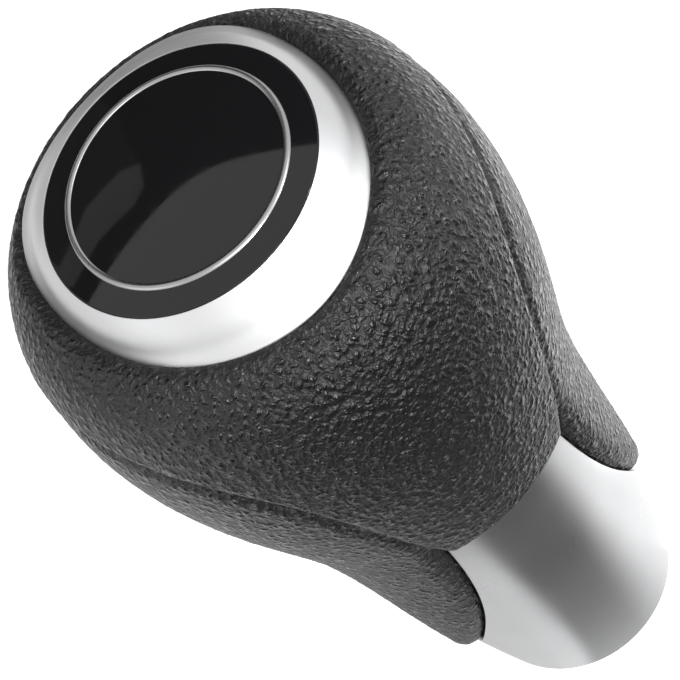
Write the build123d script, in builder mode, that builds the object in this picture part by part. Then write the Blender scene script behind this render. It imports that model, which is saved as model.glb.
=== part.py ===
"""Gear shift knob: a grained grip on a rigid core, with a satin collar, an egg-shaped bezel and a lens.

The knob stands on the rim of its collar. z = 0 is that rim, +Z runs up the lever's axis, -Y faces
the driver and +X is the right-hand side. The grip's back is the mirror image of its front. All sizes
are millimetres.
"""
import os
from math import radians, sin

from build123d import *

# Collar: a tapered satin sleeve, widest where it goes up under the grip's hem
collar_base_r = 12.1
collar_mid_r = 14.8
collar_mid_z = 20.0
collar_top_r = 16.0
collar_wall = 1.6
collar_rim_round = 0.4
flange_z = 1.0
flange_height = 1.5
flange_inner_r = 8.2

# Grip skin: outline of the pear-shaped head at its sides, from the lip down to the two lobes
head_r = 24.7
head_z = 79.0
shoulder_inset = 1.4
shoulder_z = 89.5
brow_inset = 3.1
brow_z = 93.4
lip_inset = 0.6
lip_z = 97.0
hem_z = 49.0
hem_overhang = 3.3
waist_flare = 2.4
waist_rise = 10.0
neck_overhang = 2.1
neck_drop = 7.5
lobe_proud = 1.4
skin_wall = 3.2

# Front and back panels: they stand proud of the sides, and a crease follows their edge
panel_proud_top = 0.25
panel_proud_hem = 1.0
hem_round = 0.7
hem_overlap = 3.0
hem_half_width = 8.8
panel_waist_x = 11.1
panel_flare_inset = 11.1
panel_flare_z = 70.0
panel_shoulder_inset = 6.6
panel_shoulder_z = 80.7
panel_arch_z = 88.0
crease_width = 0.9
crease_depth = 0.6

# Side lobes: tongues that run down into the collar, their edges drawn by angle from the front
lobe_hem_angle = 31.5
lobe_mid_angle = 42.0
lobe_mid_z = 28.4
lobe_toe_angle = 59.0
lobe_toe_z = 18.3
lobe_nose_angle = 74.0
lobe_nose_z = 12.0
lobe_tip_z = 8.6
lobe_tip_proud = 2.9
lobe_tip_round = 1.8
corner_angle = 45.0

# Bezel: round at the lens, egg-shaped at its rim, with the broad end at the back
lens_edge_z = 99.0
rim_front_r = 19.6
rim_front_corner_r = 18.3
rim_side_r = 17.3
rim_back_corner_r = 19.5
rim_back_r = 19.3
rim_front_corner_angle = 42.0
rim_back_corner_angle = 143.0
rim_z = 95.1
rim_height = 0.5
rim_step = 0.35
bezel_land = 0.25
bezel_bulge = 0.5
bezel_wall = 1.4
deck_z = 92.0
deck_inset = 1.8
leg_width = 5.0
leg_depth = 1.6
leg_length = 6.0
leg_circle_r = 12.0
leg_count = 4

# Lens: gloss disc, gently domed, with one fine raised ring, on an adhesive pad
lens_r = 14.4
lens_dome = 1.4
lens_rim = 1.9
ring_r = 11.5
ring_bead_r = 0.2
pad_r = 12.6
pad_height = 0.8

# Lever socket and threaded insert in the core
socket_r = 6.6
socket_top_z = 34.0
insert_length = 22.0
insert_corner_r = 7.6
insert_sides = 6
thread_core_r = 4.35
thread_lead_in = 0.8
relief_r = 5.2
relief_height = 3.0

# Clearances
seat_fit = 0.1
trim_gap = 0.25
lobe_gap = 0.35
leg_fit = 0.15

# Sizes that follow from the ones above
hem_r = collar_top_r + hem_overhang
neck_r = collar_top_r + neck_overhang
neck_z = hem_z - neck_drop
waist_r = hem_r + waist_flare
waist_z = hem_z + waist_rise
shoulder_r = head_r - shoulder_inset
brow_r = head_r - brow_inset
lip_r = rim_side_r - lip_inset
deck_r = brow_r - deck_inset
lobe_tip_r = collar_base_r + lobe_tip_proud
collar_top_z = hem_z + hem_overlap
core_base_z = flange_z + flange_height
core_inset = collar_wall + seat_fit
lens_seat_z = lens_edge_z - lens_rim
pad_seat_z = lens_seat_z - pad_height
insert_top_z = socket_top_z + insert_length
bezel_top_r = lens_r + seat_fit + bezel_land
lens_dome_r = (lens_r**2 + lens_dome**2) / (2 * lens_dome)
ring_z = lens_edge_z + lens_dome - ring_r**2 / (2 * lens_dome_r)
cutter_size = 2 * lens_edge_z


def panel_proud(z: float) -> float:
    """How far the panels stand proud of the sides at height z: least at the shoulder, most at the hem."""
    share = (shoulder_z - z) / (shoulder_z - hem_z)
    return panel_proud_top + share * (panel_proud_hem - panel_proud_top)


def collar_outline(grow: float) -> Sketch:
    """Half section from the axis to the collar's outer face, grown by a clearance at its side and top."""
    with BuildSketch(Plane.XZ) as half:
        with BuildLine():
            side = ThreePointArc(
                (collar_base_r + grow, 0),
                (collar_mid_r + grow, collar_mid_z),
                (collar_top_r + grow, collar_top_z + grow),
            )
            Polyline(side @ 1, (0, collar_top_z + grow), (0, 0), side @ 0)
        make_face()
    return half.sketch


def core_outline(grow: float) -> Sketch:
    """Half section of the core, grown by a clearance: a tube in the collar, then the head in the skin."""
    with BuildSketch(Plane.XZ) as half:
        with BuildLine():
            tube = ThreePointArc(
                (collar_base_r - core_inset + grow, 0),
                (collar_mid_r - core_inset + grow, collar_mid_z),
                (collar_top_r - core_inset + grow, collar_top_z),
            )
            head = Spline(
                tube @ 1,
                (waist_r - skin_wall + grow, waist_z),
                (head_r - skin_wall + grow, head_z),
                (deck_r + grow, deck_z + grow),
            )
            Polyline(head @ 1, (0, deck_z + grow), (0, 0), tube @ 0)
        make_face()
    return half.sketch


def skin_outline() -> Sketch:
    """Half section of the grip: the proud panel from lip to hem, then the side lobes down to the base."""
    with BuildSketch(Plane.XZ) as half:
        with BuildLine():
            panel = Spline(
                (lip_r, lip_z),
                (brow_r, brow_z),
                (shoulder_r + panel_proud(shoulder_z), shoulder_z),
                (head_r + panel_proud(head_z), head_z),
                (waist_r + panel_proud(waist_z), waist_z),
                (hem_r + panel_proud(hem_z), hem_z + hem_round),
            )
            hem = TangentArc(panel @ 1, (hem_r + panel_proud_hem - hem_round, hem_z), tangent=panel % 1)
            lobe = Spline(
                (hem_r, hem_z),
                (neck_r, neck_z),
                (collar_mid_r + lobe_proud, collar_mid_z),
                (lobe_tip_r, lobe_tip_z),
            )
            Line(hem @ 1, lobe @ 0)
            Polyline(lobe @ 1, (0, lobe_tip_z), (0, lip_z), panel @ 0)
        make_face()
        tip = vertices().sort_by(Axis.Y)[0:2].sort_by(Axis.X)[-1]
        fillet(tip, lobe_tip_round)
    return half.sketch


def beyond_sides(inset: float) -> Sketch:
    """Half section of the space beyond the head's sides, drawn in by inset, from hem to shoulder."""
    with BuildSketch(Plane.XZ) as half:
        with BuildLine():
            side = Spline(
                (hem_r - inset, hem_z),
                (waist_r - inset, waist_z),
                (head_r - inset, head_z),
                (shoulder_r - inset, shoulder_z),
            )
            Polyline(side @ 1, (cutter_size, shoulder_z), (cutter_size, hem_z), side @ 0)
        make_face()
    return half.sketch


def panel_edge(offset_x: float) -> Spline:
    """Right-hand edge of the front panel in front view, from hem to arch, moved out by offset_x."""
    return Spline(
        (hem_half_width + offset_x, hem_z),
        (panel_waist_x + offset_x, waist_z),
        (head_r - panel_flare_inset + offset_x, panel_flare_z),
        (head_r - panel_shoulder_inset + offset_x, panel_shoulder_z),
        (head_r + offset_x, panel_arch_z),
    )


def side_zone(width: float) -> Sketch:
    """Front view of the right-hand side: a strip of this width beyond the panel's edge, hem to arch."""
    with BuildSketch(Plane.XZ) as zone:
        with BuildLine():
            inner = panel_edge(0)
            outer = panel_edge(width)
            Line(inner @ 0, outer @ 0)
            Line(inner @ 1, outer @ 1)
        make_face()
    return zone.sketch


def lobe_station(radius: float, angle: float, z: float, gap: float) -> tuple[float, float]:
    """Point of a lobe's edge, seen square to the front corner and moved off the lobe by gap."""
    return radius * sin(radians(angle - corner_angle)) - gap, z - gap


def lobe_window(gap: float, top_z: float) -> Part:
    """Space between the lobes, all round and up to top_z, kept clear of the lobes' edges by gap."""
    corner = Plane(origin=(0, 0, 0), x_dir=(1, 1, 0), z_dir=(1, -1, 0))
    with BuildPart() as quarter:
        with BuildSketch(corner):
            with BuildLine():
                edge = Spline(
                    lobe_station(lobe_tip_r, 90, lobe_tip_z, gap),
                    lobe_station(collar_mid_r, lobe_nose_angle, lobe_nose_z, gap),
                    lobe_station(collar_mid_r, lobe_toe_angle, lobe_toe_z, gap),
                    lobe_station(collar_top_r, lobe_mid_angle, lobe_mid_z, gap),
                    lobe_station(collar_top_r, lobe_hem_angle, hem_z, gap),
                )
                hem_end = edge @ 1
                Polyline(hem_end, (hem_end.X, cutter_size), (-cutter_size, cutter_size), (-cutter_size, 0))
                Polyline((-cutter_size, 0), (cutter_size, 0), (cutter_size, lobe_tip_z - gap), edge @ 0)
            make_face()
        extrude(amount=cutter_size)
        Box(cutter_size, cutter_size, top_z, align=(Align.MIN, Align.MAX, Align.MIN), mode=Mode.INTERSECT)
    with BuildPart() as window:
        add(quarter.part)
        mirror(about=Plane.YZ)
        mirror(about=Plane.XZ)
    return window.part


def egg_outline(z: float, grow: float, roundness: float) -> Sketch:
    """Bezel outline at height z: the rim's egg shape plus grow, drawn to the lens's circle by roundness."""
    stations = [
        (0, rim_front_r),
        (rim_front_corner_angle, rim_front_corner_r),
        (90, rim_side_r),
        (rim_back_corner_angle, rim_back_corner_r),
        (180, rim_back_r),
        (-rim_back_corner_angle, rim_back_corner_r),
        (-90, rim_side_r),
        (-rim_front_corner_angle, rim_front_corner_r),
    ]
    with BuildSketch(Plane.XY.offset(z)) as outline:
        with BuildLine():
            points = []
            for angle, rim_r in stations:
                radius = rim_r + roundness * (bezel_top_r - rim_r) + grow
                points.append(Vector(0, -radius).rotate(Axis.Z, angle))
            Spline(*points, periodic=True)
        make_face()
    return outline.sketch


os.makedirs("parts", exist_ok=True)

# Shapes shared by the pieces
collar_section = collar_outline(0)
collar_pocket_section = collar_outline(seat_fit)
core_section = core_outline(0)
core_pocket_section = core_outline(seat_fit)
skin_section = skin_outline()
side_section = beyond_sides(0)
crease_section = beyond_sides(crease_depth)
side_view = side_zone(cutter_size)
crease_view = side_zone(crease_width)
hem_window = lobe_window(0, hem_z)
pocket_window = lobe_window(0, collar_top_z + seat_fit)
collar_window = lobe_window(lobe_gap, collar_top_z)
skin_opening = egg_outline(deck_z, trim_gap, 0)
skirt_outline = egg_outline(deck_z, -rim_step, 0)
hollow_outline = egg_outline(deck_z, -rim_step - bezel_wall, 0)
rim_outline = egg_outline(rim_z - rim_height, 0, 0)
slope_outlines = [
    egg_outline(rim_z, -rim_step, 0),
    egg_outline((rim_z + lens_edge_z) / 2, bezel_bulge, 0.5),
    egg_outline(lens_edge_z, 0, 1),
]

# Space that the proud panels leave at the sides of the head
with BuildPart() as side_shave:
    extrude(side_view, amount=cutter_size, both=True)
    mirror(about=Plane.YZ)
    revolve(side_section, mode=Mode.INTERSECT)

# Crease that follows the panels' edge
with BuildPart() as crease_groove:
    extrude(crease_view, amount=cutter_size, both=True)
    mirror(about=Plane.YZ)
    revolve(crease_section, mode=Mode.INTERSECT)

# Space under the hem that the collar's top edge takes
with BuildPart() as collar_pocket:
    revolve(collar_pocket_section)
    add(pocket_window, mode=Mode.INTERSECT)

# Grip skin: one soft moulding with two proud panels, two side lobes and an opening for the bezel
with BuildPart() as grip_skin:
    revolve(skin_section)
    add(side_shave.part, mode=Mode.SUBTRACT)
    add(crease_groove.part, mode=Mode.SUBTRACT)
    add(hem_window, mode=Mode.SUBTRACT)
    add(collar_pocket.part, mode=Mode.SUBTRACT)
    revolve(core_pocket_section, mode=Mode.SUBTRACT)
    extrude(skin_opening, amount=cutter_size, mode=Mode.SUBTRACT)

# Grip core: rigid moulding with the bezel's deck on top, the insert's pocket and the lever's socket
with BuildPart() as grip_core:
    revolve(core_section)
    Cylinder(
        cutter_size,
        core_base_z,
        align=(Align.CENTER, Align.CENTER, Align.MIN),
        mode=Mode.SUBTRACT,
    )
    with Locations((0, 0, core_base_z)):
        Cylinder(
            socket_r,
            socket_top_z - core_base_z,
            align=(Align.CENTER, Align.CENTER, Align.MIN),
            mode=Mode.SUBTRACT,
        )
    with BuildSketch(Plane.XY.offset(socket_top_z)):
        RegularPolygon(insert_corner_r + seat_fit, insert_sides)
    extrude(amount=insert_length + seat_fit, mode=Mode.SUBTRACT)
    with BuildSketch(Plane.XY.offset(insert_top_z)):
        Circle(relief_r)
    extrude(amount=relief_height, mode=Mode.SUBTRACT)
    with BuildSketch(Plane.XY.offset(deck_z)):
        with PolarLocations(leg_circle_r, leg_count, start_angle=corner_angle):
            Rectangle(leg_depth + 2 * leg_fit, leg_width + 2 * leg_fit)
    extrude(amount=-leg_length - leg_fit, mode=Mode.SUBTRACT)

# Threaded insert: hexagonal bush that screws on to the lever, its fine thread left plain
with BuildPart() as lever_insert:
    with BuildSketch(Plane.XY.offset(socket_top_z)):
        RegularPolygon(insert_corner_r, insert_sides)
        Circle(thread_core_r, mode=Mode.SUBTRACT)
    extrude(amount=insert_length)
    mouth = edges().filter_by(GeomType.CIRCLE).sort_by(Axis.Z)[0]
    chamfer(mouth, thread_lead_in)

# Collar sleeve: tapered tube with two notches for the lobes and an inner flange that the core sits on
with BuildPart() as collar_sleeve:
    revolve(collar_section)
    fillet(faces().sort_by(Axis.Z)[0].edges(), collar_rim_round)
    add(collar_window, mode=Mode.INTERSECT)
    revolve(core_pocket_section, mode=Mode.SUBTRACT)
    with BuildSketch(Plane.XY.offset(flange_z)):
        Circle(collar_base_r - collar_rim_round)
        Circle(flange_inner_r, mode=Mode.SUBTRACT)
    extrude(amount=flange_height)

# Bezel ring: satin trim that runs from a circle at the lens to the rim, with a floor and snap legs
with BuildPart() as bezel_ring:
    loft(slope_outlines)
    extrude(rim_outline, amount=rim_height)
    extrude(skirt_outline, amount=rim_z - deck_z)
    extrude(hollow_outline, amount=pad_seat_z - bezel_wall - deck_z, mode=Mode.SUBTRACT)
    with BuildSketch(Plane.XY.offset(lens_seat_z)):
        Circle(lens_r + seat_fit)
    extrude(amount=lens_edge_z - lens_seat_z, mode=Mode.SUBTRACT)
    with BuildSketch(Plane.XY.offset(pad_seat_z)):
        Circle(pad_r + seat_fit)
    extrude(amount=pad_height, mode=Mode.SUBTRACT)
    with BuildSketch(Plane.XY.offset(deck_z - leg_length)):
        with PolarLocations(leg_circle_r, leg_count, start_angle=corner_angle):
            Rectangle(leg_depth, leg_width)
    extrude(amount=leg_length + pad_seat_z - bezel_wall - deck_z)

# Lens: domed gloss disc with its fine raised ring
with BuildPart() as cap_lens:
    with BuildSketch(Plane.XZ):
        with BuildLine():
            dome = RadiusArc((0, lens_edge_z + lens_dome), (lens_r, lens_edge_z), lens_dome_r)
            Polyline(dome @ 1, (lens_r, lens_seat_z), (0, lens_seat_z), dome @ 0)
        make_face()
        with Locations((ring_r, ring_z)):
            Circle(ring_bead_r)
    revolve()

# Adhesive pad under the lens
with BuildPart() as lens_pad:
    with BuildSketch(Plane.XY.offset(pad_seat_z)):
        Circle(pad_r)
    extrude(amount=pad_height)

pieces = {
    "grip_skin": grip_skin,
    "grip_core": grip_core,
    "lever_insert": lever_insert,
    "collar_sleeve": collar_sleeve,
    "bezel_ring": bezel_ring,
    "cap_lens": cap_lens,
    "lens_pad": lens_pad,
}
for name, piece in pieces.items():
    piece.part.label = name
    export_step(piece.part, f"parts/{name}.step")
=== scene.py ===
"""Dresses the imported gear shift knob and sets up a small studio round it.

The knob gets a grained grip, a satin collar and bezel, a gloss lens and a threaded insert. The script
works in millimetres and turns them into metres where a mesh is made. Azimuth 0 faces the driver (-Y)
and grows towards the right-hand side (+X); heights are measured from the rim that the knob stands on.
"""
import logging
import math
from dataclasses import dataclass
from enum import Enum
from typing import NamedTuple

import bpy
import numpy as np
from mathutils import Matrix, Vector


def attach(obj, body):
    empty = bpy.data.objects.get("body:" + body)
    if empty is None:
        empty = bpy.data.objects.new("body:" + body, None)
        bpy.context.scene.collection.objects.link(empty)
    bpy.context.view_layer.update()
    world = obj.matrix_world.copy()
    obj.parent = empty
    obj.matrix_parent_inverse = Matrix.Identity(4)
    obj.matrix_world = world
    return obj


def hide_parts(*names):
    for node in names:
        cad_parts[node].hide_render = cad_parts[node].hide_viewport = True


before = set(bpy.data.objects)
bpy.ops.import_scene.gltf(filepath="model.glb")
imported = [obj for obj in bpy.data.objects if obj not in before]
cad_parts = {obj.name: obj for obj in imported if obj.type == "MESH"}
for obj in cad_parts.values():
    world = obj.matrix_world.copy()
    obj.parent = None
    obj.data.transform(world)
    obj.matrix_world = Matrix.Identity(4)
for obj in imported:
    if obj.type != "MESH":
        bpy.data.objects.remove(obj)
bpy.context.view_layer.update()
LOG = logging.getLogger("gear_shift_knob")
MM = 0.001
BODY = "root"
LEAST_STEP = 0.06
NOISE_SPAN = (0.3, 0.7)
NOISE_MEAN = 0.5
MAP_ENDS = ("From Min", "From Max", "To Min", "To Max")
REFLECTED_ONLY = ("visible_camera", "visible_diffuse", "visible_shadow", "visible_transmission")
Span = tuple[float, float]
Place = tuple[float, float, float]
Colour = tuple[float, float, float, float]
Stations = tuple[Span, ...]
Array = np.ndarray
Piece = bpy.types.Object
Material = bpy.types.Material
Socket = bpy.types.NodeSocket
Tree = bpy.types.NodeTree


class Ramp(Enum):
    """How a span of values runs from its low to its high end."""

    SMOOTH = "SMOOTHSTEP"
    EVEN = "LINEAR"


class EdgeLine(Enum):
    """Line of the cover's lower edge."""

    HEM = "hem"
    LOBE = "lobe"


def natural_spline(stations: Stations, count: int) -> Array:
    """Smooth curve through a few stations.

    Args:
        stations: Points that the curve passes through, in order.
        count: Number of points on the result.

    Returns:
        Points of a natural cubic spline, evenly spaced in its chord length.
    """
    points = np.asarray(stations, float)
    knots = np.concatenate([[0.0], np.cumsum(np.linalg.norm(np.diff(points, axis=0), axis=1))])
    steps = np.diff(knots)
    last = len(knots) - 1
    matrix = np.eye(last + 1)
    bends = np.zeros_like(points)
    for i in range(1, last):
        matrix[i, i - 1 : i + 2] = steps[i - 1], 2 * (steps[i - 1] + steps[i]), steps[i]
        after, before = points[i + 1] - points[i], points[i] - points[i - 1]
        bends[i] = 6 * (after / steps[i] - before / steps[i - 1])
    bends = np.linalg.solve(matrix, bends)
    where = np.linspace(0, knots[-1], count)
    k = np.clip(np.searchsorted(knots, where, side="right") - 1, 0, last - 1)
    step = steps[k][:, None]
    left = (knots[k + 1] - where)[:, None]
    right = (where - knots[k])[:, None]
    cubic = (bends[k] * left**3 + bends[k + 1] * right**3) / (6 * step)
    return (
        cubic
        + (points[k] / step - bends[k] * step / 6) * left
        + (points[k + 1] / step - bends[k + 1] * step / 6) * right
    )


def smooth_step(value: Array, low: float, high: float) -> Array:
    """Rises from 0 at low to 1 at high, level at both ends."""
    share = np.clip((value - low) / (high - low), 0, 1)
    return share * share * (3 - 2 * share)


def edge_drop(distance: Array, radius: float) -> Array:
    """How far a face falls away at a distance from its rounded edge."""
    inside = np.clip(radius - distance, 0, radius)
    return radius - np.sqrt(radius**2 - inside**2)


def arc_radius(arc: Stations, z: Array) -> Array:
    """Radius on the circular arc through three stations.

    Args:
        arc: Radius and height of the three stations.
        z: Heights.

    Returns:
        The arc's radius at each height.
    """
    (r0, z0), (r1, z1), (r2, z2) = arc
    system = np.array([[r1 - r0, z1 - z0], [r2 - r0, z2 - z0]])
    centre_r, centre_z = np.linalg.solve(
        system, [(r1**2 - r0**2 + z1**2 - z0**2) / 2, (r2**2 - r0**2 + z2**2 - z0**2) / 2]
    )
    span = math.hypot(r0 - centre_r, z0 - centre_z)
    return centre_r + np.sqrt(span**2 - (z - centre_z) ** 2)


def around(radius: Array, height: Array, azimuth: Array) -> Array:
    """Points in millimetres from radius, height and azimuth in degrees."""
    angle = np.radians(azimuth)
    return np.stack([radius * np.sin(angle), -radius * np.cos(angle), height + 0 * angle], axis=-1)


def fold(azimuth: Array) -> Array:
    """Azimuth folded into the quarter from the front or back (0) to the nearer side (90)."""
    half = np.mod(azimuth, 180.0)
    return np.minimum(half, 180.0 - half)


def unfold(quarter: Array) -> Array:
    """Azimuths all the way round from those of one quarter, 0 to 90 included."""
    back = 180 - quarter[::-1]
    half = np.concatenate([quarter[:-1], back[:-1]])
    return np.concatenate([half, half + 180])


class MeshMaker:
    """Turns rows of points into mesh objects at the origin."""

    @staticmethod
    def from_faces(name: str, points: Array, faces: list[tuple[int, ...]]) -> Piece:
        """Object from points in millimetres.

        Args:
            name: Name of the object and its mesh.
            points: Vertices, one row each.
            faces: Vertex numbers of each face.

        Returns:
            A smooth-shaded mesh object, linked to the scene.
        """
        mesh = bpy.data.meshes.new(name)
        mesh.from_pydata((points * MM).tolist(), [], faces)
        mesh.shade_smooth()
        mesh.validate()
        piece = bpy.data.objects.new(name, mesh)
        bpy.context.scene.collection.objects.link(piece)
        return piece

    @classmethod
    def closed_ring(cls, name: str, radii: list[Array], heights: list[Array], azimuth: Array) -> Piece:
        """Object from closed sections that stand one after another all round the axis.

        Args:
            name: Name of the object.
            radii: Radius of each point, by section, in the runs that make up a section.
            heights: Height of each point, in the same way.
            azimuth: Azimuth of each section.

        Returns:
            A closed shell with its faces pointing outwards.
        """
        rows = around(np.concatenate(radii, axis=1), np.concatenate(heights, axis=1), azimuth[:, None])
        sections, length = rows.shape[:2]
        number = np.arange(sections * length).reshape(sections, length)
        beside = np.roll(number, -1, axis=0)
        above, above_beside = np.roll(number, -1, axis=1), np.roll(beside, -1, axis=1)
        quads = np.stack([number, beside, above_beside, above], axis=-1).reshape(-1, 4)
        points = rows.reshape(-1, 3)
        corners = points[quads]
        volume = np.einsum("ij,ij->", corners[:, 0], np.cross(corners[:, 1], corners[:, 2]))
        volume += np.einsum("ij,ij->", corners[:, 0], np.cross(corners[:, 2], corners[:, 3]))
        if volume < 0:
            quads = quads[:, ::-1]
        return cls.from_faces(name, points, quads.tolist())

    @classmethod
    def turned(cls, name: str, section: Array, segments: int) -> Piece:
        """Object turned from a half section that starts and ends on the axis.

        Args:
            name: Name of the object.
            section: Radius and height of each point, from the axis round to the axis, outer side first.
            segments: Number of steps all round.

        Returns:
            A closed turned solid.
        """
        azimuth = np.arange(segments) * 360.0 / segments
        body = around(section[1:-1, 0][None, :], section[1:-1, 1][None, :], azimuth[:, None])
        rings = body.shape[1]
        points = np.concatenate([body.reshape(-1, 3), [[0, 0, section[0, 1]], [0, 0, section[-1, 1]]]])
        number = np.arange(segments * rings).reshape(segments, rings)
        beside = np.roll(number, -1, axis=0)
        quads = np.stack([number[:, :-1], number[:, 1:], beside[:, 1:], beside[:, :-1]], axis=-1)
        top, bottom = segments * rings, segments * rings + 1
        faces = [tuple(quad) for quad in quads.reshape(-1, 4).tolist()]
        faces += [(top, int(a), int(b)) for a, b in zip(number[:, 0], beside[:, 0])]
        faces += [(bottom, int(b), int(a)) for a, b in zip(number[:, -1], beside[:, -1])]
        return cls.from_faces(name, points, faces)


class Noise(NamedTuple):
    """Noise texture: how many waves to the metre, and how many finer layers on top."""

    per_metre: float
    detail: float


class Graph:
    """Adds nodes to a tree and links them, so that a finish reads as a list of steps."""

    def __init__(self, tree: Tree) -> None:
        """Starts on an empty tree."""
        self.tree = tree
        tree.nodes.clear()

    def add(self, kind: str, inputs: dict | None = None, **settings: object) -> bpy.types.Node:
        """New node.

        Args:
            kind: Blender's name of the node's type.
            inputs: Socket name or number to a value, or to a socket that is linked to it.
            settings: Properties of the node.

        Returns:
            The node.
        """
        node = self.tree.nodes.new(kind)
        for name, value in settings.items():
            setattr(node, name, value)
        for name, value in (inputs or {}).items():
            if isinstance(value, Socket):
                self.tree.links.new(value, node.inputs[name])
            else:
                node.inputs[name].default_value = value
        return node

    def math(self, operation: str, *values: object) -> Socket:
        """Result of a Math node on numbers or sockets."""
        return self.add("ShaderNodeMath", dict(enumerate(values)), operation=operation).outputs[0]

    def vector(self, operation: str, inputs: dict) -> Socket:
        """Result of a Vector Math node."""
        return self.add("ShaderNodeVectorMath", inputs, operation=operation).outputs[0]

    def spread(self, value: Socket, *ends: float | Socket, ramp: Ramp = Ramp.SMOOTH) -> Socket:
        """Result of a Map Range node, from the span of the first two ends to that of the last two."""
        inputs = {"Value": value, **dict(zip(MAP_ENDS, ends))}
        return self.add("ShaderNodeMapRange", inputs, interpolation_type=ramp.value).outputs["Result"]

    def blend(self, share: Socket, first: object, second: object) -> Socket:
        """Number that goes from the first to the second as the share goes from 0 to 1."""
        return self.add("ShaderNodeMix", {0: share, 2: first, 3: second}, data_type="FLOAT").outputs[0]

    def object_place(self) -> Socket:
        """Position on the piece, in metres."""
        return self.add("ShaderNodeTexCoord").outputs["Object"]

    def noise(self, place: Socket, kind: Noise, output: str = "Fac") -> Socket:
        """Level of a noise texture, or its colour."""
        inputs = {"Vector": place, "Scale": kind.per_metre, "Detail": kind.detail}
        return self.add("ShaderNodeTexNoise", inputs).outputs[output]

    def about(self, noise: Socket, middle: float, width: float) -> Socket:
        """Value that wanders about a middle as a noise does."""
        return self.spread(noise, *NOISE_SPAN, middle - width / 2, middle + width / 2)

    def bump(self, level: Socket, depth: float, strength: float, **under: Socket) -> Socket:
        """Normal of a relief with a depth in metres, on top of another Normal if one is given."""
        inputs = {"Height": level, "Distance": depth, "Strength": strength, **under}
        return self.add("ShaderNodeBump", inputs).outputs[0]

    def surface(self, inputs: dict) -> None:
        """Ends a material in one Principled shader with these inputs."""
        shader = self.add("ShaderNodeBsdfPrincipled", inputs)
        self.add("ShaderNodeOutputMaterial", {"Surface": shader.outputs[0]})


def new_material(name: str) -> tuple[Material, Graph]:
    """Empty node material and the graph that fills it."""
    material = bpy.data.materials.new(name)
    material.use_nodes = True
    return material, Graph(material.node_tree)


@dataclass(frozen=True)
class GrainPattern:
    """Pebble grain of the cover, sized in metres: the same relief serves the mesh and the material.

    Noise bends the pebbles until they run together into short wrinkles, mostly along the knob's axis.
    """

    pebbles_per_metre: float = 1300.0
    pebble_blur: float = 0.3
    stretch: Place = (1.0, 1.0, 0.7)
    bends: Noise = Noise(800.0, 2.0)
    bend: float = 0.0008
    crown: float = 0.12
    valley: float = 0.62
    wrinkles: Noise = Noise(2300.0, 1.0)
    wrinkle_span: Span = (0.35, 0.65)
    wrinkle_share: float = 0.35

    def height(self, graph: Graph, place: Socket) -> Socket:
        """Height of the grain, 0 in a valley and 1 on a pebble.

        Args:
            graph: Tree that gets the nodes.
            place: Position on the piece, in metres.

        Returns:
            The height's socket.
        """
        bends = graph.noise(place, self.bends, "Color")
        centred = graph.vector("SUBTRACT", {0: bends, 1: (NOISE_MEAN,) * 3})
        shift = graph.vector("SCALE", {0: centred, "Scale": self.bend})
        drawn = graph.vector("MULTIPLY", {0: graph.vector("ADD", {0: place, 1: shift}), 1: self.stretch})
        cells = {"Vector": drawn, "Scale": self.pebbles_per_metre, "Smoothness": self.pebble_blur}
        pebbles = graph.add("ShaderNodeTexVoronoi", cells, feature="SMOOTH_F1").outputs["Distance"]
        pebble = graph.spread(pebbles, self.crown, self.valley, 1 - self.wrinkle_share, 0.0)
        wrinkles = graph.noise(drawn, self.wrinkles)
        wrinkle = graph.spread(wrinkles, *self.wrinkle_span, 0.0, self.wrinkle_share)
        return graph.math("ADD", pebble, wrinkle)


@dataclass(frozen=True)
class LeatherFinish:
    """Charcoal cover with pebble grain: satin on the pebbles, duller and darkened by painted shade in the
    valleys.
    """

    pattern: GrainPattern = GrainPattern()
    pebble: Colour = (0.0074, 0.0072, 0.0075, 1)
    # The valley colour is painted shade: darker than the charcoal where the grain's hollows would be
    # shadowed.
    valley: Colour = (0.003, 0.003, 0.0033, 1)
    gloss: float = 0.45
    crown_rough: float = 0.21
    dull_rough: float = 0.5
    clouds: Noise = Noise(120.0, 2.0)
    cloud_rough: float = 0.12
    grain_depth: float = 0.0003
    grain_strength: float = 1.0
    pores: Noise = Noise(5200.0, 3.0)
    pore_depth: float = 0.00002
    pore_strength: float = 0.6

    def material(self) -> Material:
        """The finish as a material.

        Returns:
            The material.
        """
        material, graph = new_material("grip_leather")
        place = graph.object_place()
        height = self.pattern.height(graph, place)
        # Low grain takes the valley colour, painted shade in the hollows.
        shades = {0: height, 6: self.valley, 7: self.pebble}
        rough = graph.spread(height, 0.0, 1.0, self.dull_rough, self.crown_rough)
        cloud = graph.math("SUBTRACT", graph.noise(place, self.clouds), NOISE_MEAN)
        fine = graph.bump(graph.noise(place, self.pores), self.pore_depth, self.pore_strength)
        graph.surface({
            "Base Color": graph.add("ShaderNodeMix", shades, data_type="RGBA").outputs[2],
            "Roughness": graph.math("ADD", rough, graph.math("MULTIPLY", cloud, self.cloud_rough)),
            "Specular IOR Level": self.gloss,
            "Normal": graph.bump(height, self.grain_depth, self.grain_strength, Normal=fine),
        })
        return material


@dataclass(frozen=True)
class MetalFinish:
    """Satin metal: a fine even speckle in its surface and faint clouds in its gloss."""

    name: str
    colour: Colour
    rough: float
    rough_spread: float = 0.06
    clouds: Noise = Noise(90.0, 4.0)
    speckles: Noise = Noise(9000.0, 2.0)
    speckle_depth: float = 0.0000015
    speckle_strength: float = 0.35

    def material(self) -> Material:
        """The finish as a material.

        Returns:
            The material.
        """
        material, graph = new_material(self.name)
        place = graph.object_place()
        speckle = graph.noise(place, self.speckles)
        graph.surface({
            "Base Color": self.colour,
            "Metallic": 1.0,
            "Roughness": graph.about(graph.noise(place, self.clouds), self.rough, self.rough_spread),
            "Normal": graph.bump(speckle, self.speckle_depth, self.speckle_strength),
        })
        return material


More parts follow.
